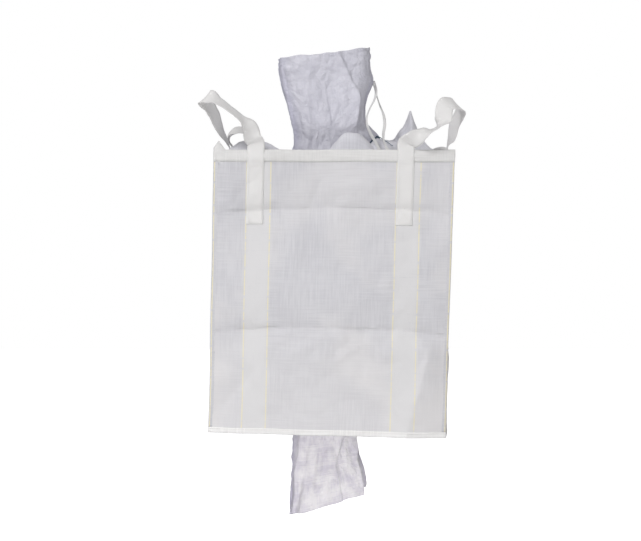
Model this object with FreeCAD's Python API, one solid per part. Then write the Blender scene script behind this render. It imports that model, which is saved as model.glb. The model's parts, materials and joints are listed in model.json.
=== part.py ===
import FreeCAD, Part
import math
import os
from FreeCAD import Vector

# A woven bulk bag, opened out to its square section and hanging from its four loops.
# Frame: the origin is the middle of the top edge of the hem, +Z is up, the front wall
# faces -Y and +X is to the right of it. All sizes are in millimetres.

# ---- Body -------------------------------------------------------------------------
BAG_WIDTH = 900.0
BAG_DEPTH = 900.0
BAG_HEIGHT = 1070.0
CLOTH = 0.8                    # woven wall
HEM_HEIGHT = 45.0
SEAM_HEIGHT = 20.0             # turned edge along the bottom
SEAM_WIDTH = 20.0              # turned edge up each corner
EDGE_THICKNESS = 1.2           # hem and seams stand this proud of the wall

# ---- Webbing loops ----------------------------------------------------------------
WEBBING_WIDTH = 65.0
WEBBING_THICKNESS = 1.5
SEWN_LENGTH = 280.0            # webbing sewn down below the hem's top edge
LEFT_STRAP_INSET = 157.0       # corner to the middle of a wall's left strap
RIGHT_STRAP_INSET = 181.5      # corner to the middle of a wall's right strap
LEG_RISE = 4.0                 # sewn webbing stands this far above the hem
LOOP_AXIS_HEIGHT = 32.0        # line that a loop flops about
LOOP_START = 2.0               # free webbing starts this far above that line
STITCH_INSET = 8.0
STITCH_WIDTH = 2.5
STITCH_PROUD = 0.5
LOOP_STATIONS = 15

# ---- Fill spout -------------------------------------------------------------------
FILL_RADIUS = 175.0            # inside
FILL_LENGTH = 460.0
SPOUT_CLOTH = 0.8
NECK_LENGTH = 10.0
OVERLOCK_WIDTH = 3.0
OVERLOCK_HEIGHT = 4.0
SPOUT_SWING_ROOM = 8.2         # room left over the neck when a spout lies over
SPOUT_TUBE_START = 5.0         # stiff tube starts this far beyond the fold line
SPOUT_SEAM_WIDTH = 22.0
SPOUT_SEAM_THICKNESS = 1.0

# ---- Discharge spout --------------------------------------------------------------
DISCHARGE_RADIUS = 150.0       # inside
DISCHARGE_LENGTH = 380.0

# ---- Tie tapes of the fill spout --------------------------------------------------
TAPE_DIAMETER = 8.0            # the gathered tape, as a round cord
PATCH_ANGLE = -8.0             # from +X, seen from above
PATCH_HEIGHT = 320.0
PATCH_SIZE = 46.0
PATCH_THICKNESS = 1.2
TAPE_END_HEIGHT = 6.0

# Each loop from its wall's left strap round to the next wall's right strap:
# along the line between its two legs, outward from it, and up from the hem.
LOOP_ROUTES = {
    "front_left": [
        (-122, 8, 72), (-104, 58, 122), (-62, 110, 172), (-4, 141, 206),
        (34, 120, 165), (66, 84, 118), (100, 34, 74),
    ],
    "front_right": [
        (-114, 12, 78), (-98, 58, 140), (-62, 88, 178), (-6, 96, 189), (4, 110, 138),
        (36, 100, 86), (76, 58, 66), (106, 20, 52),
    ],
    "back_left": [
        (-122, 8, 84), (-118, 42, 140), (-84, 92, 184), (-20, 104, 199), (42, 78, 176),
        (92, 30, 118), (116, 4, 70),
    ],
    "back_right": [
        (-118, 25, 70), (-95, 90, 105), (-45, 160, 122), (10, 180, 120), (65, 140, 105),
        (105, 70, 80), (118, 20, 55),
    ],
}

# Each tie tape, from its patch on the fill spout down to the top panel.
TAPE_ROUTES = {
    "left_tie_tape": [
        (180.5, -27.0, 322.0), (194.0, -46.0, 284.0), (184.0, -92.0, 238.0),
        (156.0, -134.0, 192.0), (138.0, -158.0, 142.0), (152.0, -170.0, 92.0),
        (176.0, -186.0, 46.0), (184.0, -232.0, 12.0), (166.0, -286.0, TAPE_END_HEIGHT),
        (128.0, -326.0, TAPE_END_HEIGHT),
    ],
    "right_tie_tape": [
        (181.5, -14.0, 316.0), (191.0, -22.0, 276.0), (202.0, -52.0, 228.0),
        (216.0, -92.0, 180.0), (216.0, -132.0, 132.0), (200.0, -160.0, 84.0),
        (206.0, -190.0, 38.0), (226.0, -238.0, 10.0), (262.0, -280.0, TAPE_END_HEIGHT),
        (312.0, -296.0, TAPE_END_HEIGHT),
    ],
}

SIDES = ["front", "right", "back", "left"]
UP = Vector(0, 0, 1)

os.makedirs("parts", exist_ok=True)


def save(name, shape):
    shape.exportStep(f"parts/{name}.step")


def half_width(side):
    """Half of a wall's own width."""
    return (BAG_WIDTH if side in (0, 2) else BAG_DEPTH) / 2


def reach(side):
    """From the middle of the bag to the outside of a wall."""
    return (BAG_DEPTH if side in (0, 2) else BAG_WIDTH) / 2


def turned(shape, side):
    """Carries a shape made at the front wall round to another side."""
    shape.rotate(Vector(0, 0, 0), UP, 90 * side)
    return shape


def wall_point(side, across, out, height):
    """A point given across a wall, out from the bag's middle, and up."""
    turn = FreeCAD.Rotation(UP, 90 * side)
    return turn.multVec(Vector(across, -out, height))


def wall_box(side, across, out, heights):
    """A box on a wall: each argument is a low and a high value."""
    size = (across[1] - across[0], out[1] - out[0], heights[1] - heights[0])
    corner = Vector(across[0], -out[1], heights[0])
    return turned(Part.makeBox(*size, corner), side)


# ---- Cloth body -------------------------------------------------------------------
def make_walls():
    for side, name in enumerate(SIDES):
        half = half_width(side) - (0 if side in (0, 2) else CLOTH)
        face = reach(side)
        save(f"{name}_panel", wall_box(side, (-half, half), (face - CLOTH, face), (-BAG_HEIGHT, 0)))


def end_panel(height, hole_radius):
    """The top or the bottom of the body, with the hole of its spout."""
    width = BAG_WIDTH - 2 * CLOTH
    depth = BAG_DEPTH - 2 * CLOTH
    sheet = Part.makeBox(width, depth, CLOTH, Vector(-width / 2, -depth / 2, height))
    return sheet.cut(Part.makeCylinder(hole_radius, CLOTH, Vector(0, 0, height)))


def make_edges():
    """The hem round the mouth, and the turned edge round the bottom."""
    for side, name in enumerate(SIDES):
        half = half_width(side) + (EDGE_THICKNESS if side in (0, 2) else 0)
        face = reach(side)
        proud = (face, face + EDGE_THICKNESS)
        save(f"{name}_hem", wall_box(side, (-half, half), proud, (-HEM_HEIGHT, 0)))
        foot = (-BAG_HEIGHT, SEAM_HEIGHT - BAG_HEIGHT)
        save(f"{name}_bottom_seam", wall_box(side, (-half, half), proud, foot))


def make_corner_seams():
    """The angle of folded cloth up each corner, between the hem and the bottom edge."""
    low = SEAM_HEIGHT - BAG_HEIGHT
    tall = -HEM_HEIGHT - low
    for side_x, across in ((-1, "left"), (1, "right")):
        for side_y, along in ((-1, "front"), (1, "back")):
            x = side_x * (BAG_WIDTH / 2 + EDGE_THICKNESS)
            y = side_y * (BAG_DEPTH / 2 + EDGE_THICKNESS)
            thick_x = side_x * EDGE_THICKNESS
            thick_y = side_y * EDGE_THICKNESS
            wide_x = side_x * (SEAM_WIDTH + EDGE_THICKNESS)
            wide_y = side_y * (SEAM_WIDTH + EDGE_THICKNESS)
            corners = [
                (x, y), (x - wide_x, y), (x - wide_x, y - thick_y),
                (x - thick_x, y - thick_y), (x - thick_x, y - wide_y), (x, y - wide_y),
            ]
            points = [Vector(a, b, low) for a, b in corners]
            face = Part.Face(Part.makePolygon(points + points[:1]))
            save(f"{along}_{across}_corner_seam", face.extrude(Vector(0, 0, tall)))


# ---- Webbing ----------------------------------------------------------------------
def leg_profile(face):
    """Side outline of a sewn leg: flat on the wall, stepped out over the hem."""
    inner = [
        (face, -SEWN_LENGTH), (face, -HEM_HEIGHT - 2 * EDGE_THICKNESS),
        (face + EDGE_THICKNESS, -HEM_HEIGHT), (face + EDGE_THICKNESS, LEG_RISE),
    ]
    outer = [(out + WEBBING_THICKNESS, height) for out, height in reversed(inner)]
    return inner + outer


def strap_places(side):
    """The middles of a wall's left and right straps, across the wall."""
    half = half_width(side)
    return {"left": LEFT_STRAP_INSET - half, "right": half - RIGHT_STRAP_INSET}


def make_legs():
    for side, name in enumerate(SIDES):
        for hand, middle in strap_places(side).items():
            start = middle - WEBBING_WIDTH / 2
            points = [Vector(start, -out, height) for out, height in leg_profile(reach(side))]
            face = Part.Face(Part.makePolygon(points + points[:1]))
            leg = face.extrude(Vector(WEBBING_WIDTH, 0, 0))
            save(f"{name}_wall_{hand}_strap", turned(leg, side))


def make_stitching():
    """One stitched rectangle on each sewn leg, below the hem."""
    half = WEBBING_WIDTH / 2 - STITCH_INSET
    low = STITCH_INSET - SEWN_LENGTH
    high = -HEM_HEIGHT - STITCH_INSET
    frames = []
    for side in range(len(SIDES)):
        face = reach(side) + WEBBING_THICKNESS
        proud = (face, face + STITCH_PROUD)
        for middle in strap_places(side).values():
            outside = wall_box(side, (middle - half, middle + half), proud, (low, high))
            within = half - STITCH_WIDTH
            inside = wall_box(
                side, (middle - within, middle + within), proud,
                (low + STITCH_WIDTH, high - STITCH_WIDTH),
            )
            frames.append(outside.cut(inside))
    save("strap_stitching", Part.makeCompound(frames))


def loop_frame(side):
    """A loop's own axes at a corner: its two feet, their middle, along and outward."""
    before = (side - 1) % len(SIDES)
    skin = EDGE_THICKNESS + WEBBING_THICKNESS / 2
    height = LOOP_AXIS_HEIGHT + LOOP_START
    first = wall_point(side, strap_places(side)["left"], reach(side) + skin, height)
    last = wall_point(before, strap_places(before)["right"], reach(before) + skin, height)
    middle = (first + last) / 2
    middle.z = 0
    along = (last - first).normalize()
    outward = along.cross(UP)
    if outward.dot(middle) < 0:
        outward = outward * -1
    return first, last, middle, along, outward


def make_loop(name, side):
    """A free loop of webbing, a ribbon that turns from one wall's face to the next."""
    first, last, middle, along, outward = loop_frame(side)
    route = [first]
    for a, out, height in LOOP_ROUTES[name]:
        route.append(middle + along * a + outward * out + UP * height)
    route.append(last)
    line = Part.BSplineCurve()
    line.interpolate(route)
    start_width = wall_point(side, 1, 0, 0)
    end_width = wall_point((side - 1) % len(SIDES), -1, 0, 0)
    sections = []
    for i in range(LOOP_STATIONS):
        share = i / (LOOP_STATIONS - 1)
        at = line.FirstParameter + share * (line.LastParameter - line.FirstParameter)
        middle_point = line.value(at)
        forward = Vector(*line.tangent(at)[0])
        if i in (0, LOOP_STATIONS - 1):
            forward = UP if i == 0 else UP * -1
        width = start_width * math.cos(share * math.pi / 2)
        width = width + end_width * math.sin(share * math.pi / 2)
        width = (width - forward * width.dot(forward)).normalize()
        thickness = forward.cross(width).normalize() * (WEBBING_THICKNESS / 2)
        width = width * (WEBBING_WIDTH / 2)
        corners = [
            middle_point + width + thickness, middle_point - width + thickness,
            middle_point - width - thickness, middle_point + width - thickness,
        ]
        sections.append(Part.makePolygon(corners + corners[:1]))
    save(f"{name}_loop", Part.makeLoft(sections, True, True))
    print(f"{name} loop: free webbing {line.length():.0f} mm, axis through", first, "and", last)


# ---- Spouts -----------------------------------------------------------------------
def ring(radius, thickness, low, high):
    """A tube with an upright axis."""
    height = high - low
    outside = Part.makeCylinder(radius + thickness, height, Vector(0, 0, low))
    return outside.cut(Part.makeCylinder(radius, height, Vector(0, 0, low)))


def spout_seam(radius, low, high):
    """A lapped seam down the outside of a spout, on its left side."""
    shell = ring(radius, SPOUT_SEAM_THICKNESS, low, high)
    corner = Vector(-2 * radius, -SPOUT_SEAM_WIDTH / 2, low)
    return shell.common(Part.makeBox(2 * radius, SPOUT_SEAM_WIDTH, high - low, corner))


def fold_height(radius):
    """From the body to the line that a spout lies over about."""
    return NECK_LENGTH + radius + SPOUT_CLOTH + SPOUT_SWING_ROOM


def make_spout(name, radius, length, base, sign):
    """A spout from the body outwards: neck, loose fold, tube, seam and overlocked base."""
    fold = fold_height(radius) + SPOUT_TUBE_START
    steps = {"neck": (0, NECK_LENGTH), "fold": (NECK_LENGTH, fold), "tube": (fold, length)}
    for part, (near, far) in steps.items():
        low, high = sorted((base + sign * near, base + sign * far))
        save(f"{name}_{part}", ring(radius, SPOUT_CLOTH, low, high))
    outside = radius + SPOUT_CLOTH
    low, high = sorted((base + sign * fold, base + sign * length))
    save(f"{name}_seam", spout_seam(outside, low, high))
    low, high = sorted((base, base + sign * OVERLOCK_HEIGHT))
    save(f"{name}_overlock", ring(outside, OVERLOCK_WIDTH, low, high))
    print(f"{name} lies over about z = {base + sign * fold_height(radius):.1f} mm")


def make_tie_patch():
    """The square of cloth that holds the two tie tapes to the fill spout."""
    radius = FILL_RADIUS + SPOUT_CLOTH
    low = PATCH_HEIGHT - PATCH_SIZE / 2
    shell = ring(radius, PATCH_THICKNESS, low, low + PATCH_SIZE)
    block = Part.makeBox(2 * radius, PATCH_SIZE, PATCH_SIZE, Vector(0, -PATCH_SIZE / 2, low))
    block.rotate(Vector(0, 0, 0), UP, PATCH_ANGLE)
    save("tie_patch", shell.common(block))


# ---- Cords ------------------------------------------------------------------------
def cord_path(name, points):
    """Straight runs joined by tangent arcs, each as large as its two runs allow."""
    edges = []
    start = points[0]
    for before, corner, after in zip(points, points[1:], points[2:]):
        into = (corner - before).normalize()
        away = (after - corner).normalize()
        turn = into.getAngle(away)
        setback = 0.45 * min((corner - before).Length, (after - corner).Length)
        radius = setback / math.tan(turn / 2)
        arc_start = corner - into * setback
        arc_end = corner + away * setback
        inward = (away - into).normalize()
        arc_middle = corner + inward * (radius / math.cos(turn / 2) - radius)
        edges.append(Part.LineSegment(start, arc_start).toShape())
        edges.append(Part.Arc(arc_start, arc_middle, arc_end).toShape())
        start = arc_end
        print(f"  {name}: turn {math.degrees(turn):.0f} degrees, radius {radius:.0f} mm")
    edges.append(Part.LineSegment(start, points[-1]).toShape())
    return Part.Wire(edges)


def make_tie_tape(name):
    points = [Vector(*point) for point in TAPE_ROUTES[name]]
    path = cord_path(name, points)
    section = Part.Wire(Part.makeCircle(TAPE_DIAMETER / 2, points[0], points[1] - points[0]))
    tube = path.makePipeShell([section], True, True)
    save(name, tube)
    expected = math.pi * (TAPE_DIAMETER / 2) ** 2 * path.Length
    print(f"{name}: length {path.Length:.0f} mm, volume {tube.Volume / expected:.4f} of section x length")


make_walls()
save("top_panel", end_panel(-CLOTH, FILL_RADIUS))
save("bottom_panel", end_panel(-BAG_HEIGHT, DISCHARGE_RADIUS))
make_edges()
make_corner_seams()
make_legs()
make_stitching()
for corner, corner_name in enumerate(["front_left", "front_right", "back_right", "back_left"]):
    make_loop(corner_name, corner)
make_spout("fill_spout", FILL_RADIUS, FILL_LENGTH, 0.0, 1)
make_spout("discharge_spout", DISCHARGE_RADIUS, DISCHARGE_LENGTH, -BAG_HEIGHT, -1)
make_tie_patch()
for tape in TAPE_ROUTES:
    make_tie_tape(tape)
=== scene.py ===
import json
import math

import bmesh
import bpy
from bpy.props import FloatProperty, FloatVectorProperty, PointerProperty
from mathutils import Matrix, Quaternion, Vector, noise


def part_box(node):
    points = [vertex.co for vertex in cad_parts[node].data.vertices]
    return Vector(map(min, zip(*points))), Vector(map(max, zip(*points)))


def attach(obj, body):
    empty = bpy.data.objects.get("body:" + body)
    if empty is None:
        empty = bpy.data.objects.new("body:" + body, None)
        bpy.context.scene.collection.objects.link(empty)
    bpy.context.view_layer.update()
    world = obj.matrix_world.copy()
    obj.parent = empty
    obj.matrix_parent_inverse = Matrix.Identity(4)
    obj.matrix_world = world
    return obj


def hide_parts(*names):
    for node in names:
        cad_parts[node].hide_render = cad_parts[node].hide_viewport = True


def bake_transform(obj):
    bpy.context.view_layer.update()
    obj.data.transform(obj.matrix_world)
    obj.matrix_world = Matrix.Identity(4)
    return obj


bl_info = {
    "name": "Bulk Bag",
    "version": (1, 0, 0),
    "blender": (4, 5, 0),
    "location": "View3D > Sidebar > Bulk Bag",
    "description": "Builds the looks of a hanging woven bulk bag around its frame",
    "category": "Object",
}

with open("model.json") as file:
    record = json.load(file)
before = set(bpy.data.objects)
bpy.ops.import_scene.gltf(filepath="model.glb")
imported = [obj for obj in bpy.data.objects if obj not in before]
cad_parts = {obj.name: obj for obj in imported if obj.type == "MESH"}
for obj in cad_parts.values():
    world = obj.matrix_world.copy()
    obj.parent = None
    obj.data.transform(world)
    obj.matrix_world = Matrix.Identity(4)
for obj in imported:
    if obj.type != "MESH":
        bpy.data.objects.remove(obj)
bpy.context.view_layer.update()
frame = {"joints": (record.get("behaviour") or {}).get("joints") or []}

# Places that come from the frame, in metres.
SIDES = ("front", "right", "back", "left")
FRONT_LOW, FRONT_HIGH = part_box("front_panel")
HALF_WIDTH = FRONT_HIGH.x
HALF_DEPTH = -FRONT_LOW.y
BODY_HEIGHT = -FRONT_LOW.z
HEM_HEIGHT = -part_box("front_hem")[0].z
SEAM_HEIGHT = BODY_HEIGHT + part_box("front_bottom_seam")[1].z
CORNER_SEAM_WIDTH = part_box("front_left_corner_seam")[1].x + HALF_WIDTH
STRAP_BOX = {hand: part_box(f"front_wall_{hand}_strap") for hand in ("left", "right")}
STRAP_PLACE = {hand: (low.x + high.x) / 2 for hand, (low, high) in STRAP_BOX.items()}
STRAP_WIDTH = STRAP_BOX["left"][1].x - STRAP_BOX["left"][0].x
SEWN_LENGTH = -STRAP_BOX["left"][0].z
FILL_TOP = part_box("fill_spout_tube")[1].z
FILL_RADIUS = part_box("fill_spout_fold")[1].x
FILL_NECK_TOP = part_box("fill_spout_neck")[1].z
DISCHARGE_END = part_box("discharge_spout_tube")[0].z
DISCHARGE_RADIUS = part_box("discharge_spout_fold")[1].x
DISCHARGE_NECK_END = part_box("discharge_spout_neck")[0].z
JOINT_AT = {joint["name"]: Vector(joint["pos_m"]) for joint in frame["joints"]}

# Folds along each spout: its place in degrees round from +X at the base, half way and
# at the rim, depth, reach of its gentle and its steep side in radians, and the shares
# of the spout's length where it starts and ends.
FILL_PLEATS = (
    (-56.0, -50.0, -74.0, 0.0110, 0.34, 0.16, 0.10, 1.12),
    (-24.0, -27.0, -34.0, 0.0050, 0.14, 0.14, 0.05, 1.12),
    (-122.0, -116.0, -104.0, 0.0070, 0.25, 0.14, 0.00, 0.90),
    (-84.0, -90.0, -96.0, 0.0050, 0.16, 0.10, 0.25, 0.80),
    (-150.0, -146.0, -138.0, 0.0060, 0.16, 0.12, 0.10, 1.12),
    (60.0, 80.0, 74.0, 0.0100, 0.30, 0.16, 0.10, 1.12),
    (140.0, 128.0, 120.0, 0.0090, 0.20, 0.14, 0.00, 1.12),
)
DISCHARGE_PLEATS = (
    (-128.0, -135.0, -141.0, 0.0090, 0.20, 0.12, 0.00, 1.12),
    (-57.0, -77.0, -71.0, 0.0100, 0.28, 0.12, 0.00, 1.12),
    (-96.0, -101.0, -104.0, 0.0050, 0.14, 0.10, 0.05, 1.12),
    (-34.0, -38.0, -40.0, 0.0070, 0.14, 0.10, 0.00, 1.12),
    (40.0, 50.0, 56.0, 0.0090, 0.20, 0.14, 0.00, 1.12),
    (110.0, 104.0, 118.0, 0.0090, 0.24, 0.14, 0.00, 1.12),
)

# The tie patch pulls the fill spout outwards: its place round from +X, and how far.
PATCH_TURN = math.radians(-8.0)
PATCH_PULL = 0.0235

# How far each layer of the body stands out from the wall cloth, in metres.
HEM_OUT = 0.0008
SEAM_OUT = 0.0009
STRAP_OUT = 0.0010
STRAP_OVER_HEM_OUT = 0.0026
STITCH_OUT = 0.0012

# The free part of each loop, from its wall's left strap round to the next wall's
# right strap: places on its middle line, and the direction across its webbing there.
LOOP_ROUTES = {
    "front_left": [
        ((-0.302, -0.462, 0.043), (1, 0.1, 0)),
        ((-0.311, -0.47, 0.082), (0.85, 0.5, 0.2)),
        ((-0.346, -0.476, 0.118), (0.38, 0.9, 0.2)),
        ((-0.388, -0.478, 0.151), (0.36, 0.9, 0.25)),
        ((-0.429, -0.474, 0.179), (0.42, 0.85, 0.35)),
        ((-0.466, -0.462, 0.198), (0.62, 0.3, 0.72)),
        ((-0.481, -0.44, 0.193), (0.66, -0.1, 0.74)),
        ((-0.466, -0.415, 0.169), (0.5, 0.8, 0.3)),
        ((-0.45, -0.38, 0.138), (0.42, 0.9, 0.1)),
        ((-0.434, -0.33, 0.098), (0.32, 0.95, 0)),
        ((-0.414, -0.285, 0.059), (0.15, 0.98, 0)),
    ],
    "front_right": [
        ((0.452, -0.3, 0.061), (-0.35, 0.92, 0)),
        ((0.461, -0.335, 0.107), (-0.4, 0.9, 0)),
        ((0.476, -0.375, 0.144), (-0.4, 0.9, 0.1)),
        ((0.477, -0.4, 0.163), (-0.35, 0.85, 0.4)),
        ((0.449, -0.43, 0.176), (-0.15, 0.7, 0.7)),
        ((0.419, -0.45, 0.171), (-0.6, 0.25, 0.75)),
        ((0.408, -0.46, 0.144), (-0.95, 0.1, 0.25)),
        ((0.406, -0.466, 0.117), (-0.95, 0.15, 0.1)),
        ((0.393, -0.47, 0.089), (-0.45, 0.88, -0.1)),
        ((0.366, -0.472, 0.072), (-0.15, 0.97, 0.2)),
        ((0.333, -0.47, 0.061), (-0.5, 0.7, 0.5)),
        ((0.3, -0.465, 0.041), (-0.9, 0.1, 0.45)),
    ],
    "back_right": [
        ((0.298, 0.475, 0.048), (-1, 0, 0)),
        ((0.335, 0.505, 0.078), (-0.9, -0.3, 0.2)),
        ((0.392, 0.518, 0.092), (-0.5, -0.7, 0.5)),
        ((0.448, 0.508, 0.086), (-0.3, -0.9, 0.25)),
        ((0.486, 0.462, 0.076), (0.1, -1, 0.2)),
        ((0.494, 0.400, 0.064), (0.1, -1, 0.1)),
        ((0.474, 0.335, 0.047), (0, -1, 0)),
    ],
    "back_left": [
        ((-0.421, 0.3, 0.066), (0, -1, 0)),
        ((-0.446, 0.31, 0.115), (-0.1, -0.95, -0.2)),
        ((-0.432, 0.33, 0.148), (0.1, -0.85, -0.4)),
        ((-0.399, 0.36, 0.167), (0.1, -0.8, -0.55)),
        ((-0.361, 0.39, 0.161), (0.3, -0.8, -0.5)),
        ((-0.327, 0.42, 0.118), (0.7, -0.6, 0)),
        ((-0.293, 0.44, 0.062), (1, -0.2, 0)),
    ],
}

# Each tie tape, from its patch on the fill spout down to the top panel.
TAPE_ROUTES = {
    "left_tie_tape": [
        (0.1805, -0.027, 0.322), (0.194, -0.046, 0.284), (0.184, -0.092, 0.238),
        (0.156, -0.134, 0.192), (0.138, -0.158, 0.142), (0.152, -0.170, 0.092),
        (0.176, -0.186, 0.046), (0.184, -0.232, 0.012), (0.166, -0.286, 0.006),
        (0.128, -0.326, 0.006),
    ],
    "right_tie_tape": [
        (0.1815, -0.014, 0.316), (0.191, -0.022, 0.276), (0.202, -0.052, 0.228),
        (0.216, -0.092, 0.180), (0.216, -0.132, 0.132), (0.200, -0.160, 0.084),
        (0.206, -0.190, 0.038), (0.226, -0.238, 0.010), (0.262, -0.280, 0.006),
        (0.312, -0.296, 0.006),
    ],
}

# Folds that stand up in the loose top cloth: place x and y, height, half width,
# half length, the turn of its ridge from +X in degrees, and 1 for a sharp ridge up
# to 4 for a flat dome.
TOP_FOLDS = (
    (0.332, 0.060, 0.250, 0.072, 0.130, 90.0, 1.0),
    (0.070, -0.258, 0.098, 0.062, 0.080, 0.0, 3.2),
    (0.160, -0.066, 0.096, 0.095, 0.110, 68.0, 2.0),
    (-0.275, -0.335, 0.060, 0.050, 0.075, 0.0, 2.0),
    (-0.390, -0.340, 0.036, 0.050, 0.060, 0.0, 2.0),
    (-0.190, 0.270, 0.060, 0.050, 0.110, 120.0, 1.5),
)

# Folds in the front wall, valleys and, below zero, ridges: from one place (across, up)
# to another on its right, depth, reach below and reach above, all in metres.
WALL_FOLDS = (
    (-0.392, -0.215, -0.432, -0.050, -0.0190, 0.080, 0.022),
    (-0.446, -0.214, -0.400, -0.176, -0.0080, 0.040, 0.026),
    (0.041, -0.632, 0.210, -0.500, -0.0062, 0.035, 0.090),
    (-0.141, -0.775, 0.004, -0.705, -0.0085, 0.030, 0.060),
    (0.030, -0.800, 0.110, -0.740, -0.0050, 0.025, 0.050),
    (0.290, -1.070, 0.370, -0.740, -0.0230, 0.120, 0.045),
    (-0.457, -1.023, -0.325, -0.872, 0.0100, 0.045, 0.040),
    (-0.425, -0.560, -0.420, -0.240, -0.0060, 0.060, 0.030),
    (0.300, -0.330, 0.446, -0.230, 0.0060, 0.030, 0.040),
    (-0.120, -0.190, 0.190, -0.170, 0.0035, 0.014, 0.022),
    (-0.230, -0.205, -0.080, -0.110, 0.0014, 0.014, 0.022),
    (0.060, -0.200, 0.235, -0.120, -0.0014, 0.014, 0.025),
    (-0.446, -0.760, -0.250, -0.700, 0.0060, 0.020, 0.025),
    (0.250, -0.690, 0.440, -0.740, 0.0060, 0.020, 0.025),
    (-0.110, -0.640, -0.080, -0.250, 0.0030, 0.014, 0.030),
    (0.130, -1.040, 0.170, -0.700, -0.0035, 0.020, 0.040),
)

# Creases left across every wall by the folded bale: height, depth, reach above and
# below, all in metres.
FOLD_CREASES = (
    (-0.218, 0.023, 0.110, 0.120),
    (-0.668, 0.018, 0.065, 0.110),
)


# ---- Properties -------------------------------------------------------------------
def length_property(name, description, default):
    return FloatProperty(name=name, description=description, default=default, unit="LENGTH")


def colour_property(name, description, default):
    return FloatVectorProperty(
        name=name, description=description, default=(*default, 1.0), size=4, subtype="COLOR"
    )


class BULKBAG_PG_cloth(bpy.types.PropertyGroup):
    """The woven body: cloth, creases and colours."""

    thickness: length_property("Cloth thickness", "Thickness of the woven wall", 0.0012)
    grid: length_property("Mesh step", "Distance between mesh points on the cloth", 0.0092)
    crumple: length_property("Crumple", "Depth of the small facets in the cloth", 0.0085)
    slump: length_property("Slump", "Depth of the wide soft waves", 0.0130)
    bottom_sag: length_property("Bottom sag", "How far the bottom cloth hangs down", 0.022)
    pitch: length_property("Weave pitch", "Width of one woven tape", 0.0030)
    colour: colour_property("Cloth", "Coated woven cloth", (0.536, 0.531, 0.556))
    shade: colour_property("Cloth shade", "Darker streaks in the cloth", (0.470, 0.465, 0.494))
    # Painted light: paler colour for the lower wall and for patches of painted highlight.
    painted_light_mottle: colour_property("Worn cloth", "Paler cloth low down and in patches", (0.640, 0.622, 0.622))
    band: colour_property("Band", "Reinforced band under each strap", (0.580, 0.572, 0.580))
    marker: colour_property("Marker yarn", "Yellow yarn beside each band", (0.700, 0.640, 0.420))
    hem: colour_property("Hem", "Turned hem", (0.630, 0.622, 0.618))
    seam: colour_property("Seam", "Bottom seam", (0.745, 0.735, 0.732))
    thread: colour_property("Thread", "White sewing thread", (0.760, 0.750, 0.730))


class BULKBAG_PG_webbing(bpy.types.PropertyGroup):
    """The lifting loops."""

    thickness: length_property("Webbing thickness", "Thickness of the lifting webbing", 0.0010)
    step: length_property("Mesh step", "Distance between mesh rows along the webbing", 0.006)
    rib: length_property("Rib pitch", "Distance between two ribs of the webbing", 0.0040)
    stitch: length_property("Stitch length", "Length of one sewn stitch", 0.0068)
    colour: colour_property("Webbing", "White webbing", (0.690, 0.680, 0.675))
    # Painted shade: the darker colour between the ribs of the webbing.
    shade: colour_property("Webbing shade", "Between the ribs", (0.600, 0.590, 0.590))


class BULKBAG_PG_spouts(bpy.types.PropertyGroup):
    """The fill spout on top and the discharge spout below."""

    thickness: length_property("Spout cloth thickness", "Thickness of the thin cloth", 0.0010)
    wrinkle: length_property("Wrinkles", "Depth of the crinkles in the spouts", 0.0120)
    fill_colour: colour_property("Fill spout", "Thin lilac cloth", (0.545, 0.538, 0.598))
    # Partly painted shade in the crinkle valleys and folds, partly random streaks.
    fill_streak_and_painted_shade: colour_property("Fill spout shade", "Its darker folds", (0.485, 0.480, 0.540))
    discharge_colour: colour_property("Discharge spout", "Thin cloth", (0.930, 0.902, 0.928))
    # Partly painted shade in the crinkle valleys and folds, partly random streaks.
    discharge_streak_and_painted_shade: colour_property("Discharge shade", "Its folds", (0.730, 0.695, 0.770))
    top_colour: colour_property("Top panel", "Thin cloth of the top", (0.650, 0.645, 0.690))
    overlock: colour_property("Overlock thread", "Dark blue thread", (0.035, 0.085, 0.150))
    tape: colour_property("Tie tape", "White tie tape", (0.700, 0.695, 0.690))
    tape_width: length_property("Tape width", "Width of a tie tape", 0.012)


class BULKBAG_PG_stage(bpy.types.PropertyGroup):
    """Camera, light and floor."""

    distance: length_property("Camera distance", "From the front wall to the camera", 4.5)
    camera_x: length_property("Camera x", "Across", -0.050)
    camera_z: length_property("Camera z", "Up", -0.448)
    floor: length_property("Floor", "Height of the floor", -1.95)
    room_light: FloatProperty(name="Room light", description="Light from all round", default=0.40)
    front_light: FloatProperty(name="Front light", description="Light from the front", default=0.58)
    key_light: FloatProperty(name="Key light", description="Main light in watts", default=415.0)
    low_light: FloatProperty(name="Low light", description="Low front light in watts", default=88.0)
    side_light: FloatProperty(name="Side light", description="Fill light in watts", default=24.0)


# ---- Mesh helpers -----------------------------------------------------------------
def cloth_grid(columns, rows, place, yarn, wrap=False):
    """A grid of cloth: place and yarn take a point of the unit square, and give its
    place in the frame and its distance along the two yarns, in metres. yarn also
    takes the middle of the face that the point is a corner of."""
    bm = bmesh.new()
    layer = bm.loops.layers.uv.new("Yarn")
    bmesh.ops.create_grid(bm, x_segments=columns, y_segments=rows, size=1.0)
    reach = max(v.co.x for v in bm.verts)
    square = {v: ((v.co.x / reach + 1) / 2, (v.co.y / reach + 1) / 2) for v in bm.verts}
    for face in bm.faces:
        middle = sum(square[vert][0] for vert in face.verts) / len(face.verts)
        for loop in face.loops:
            loop[layer].uv = yarn(*square[loop.vert], middle)
    for vert, (s, t) in square.items():
        vert.co = place(s, t)
    if wrap:
        bmesh.ops.remove_doubles(bm, verts=bm.verts, dist=1e-5)
    return bm


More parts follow.
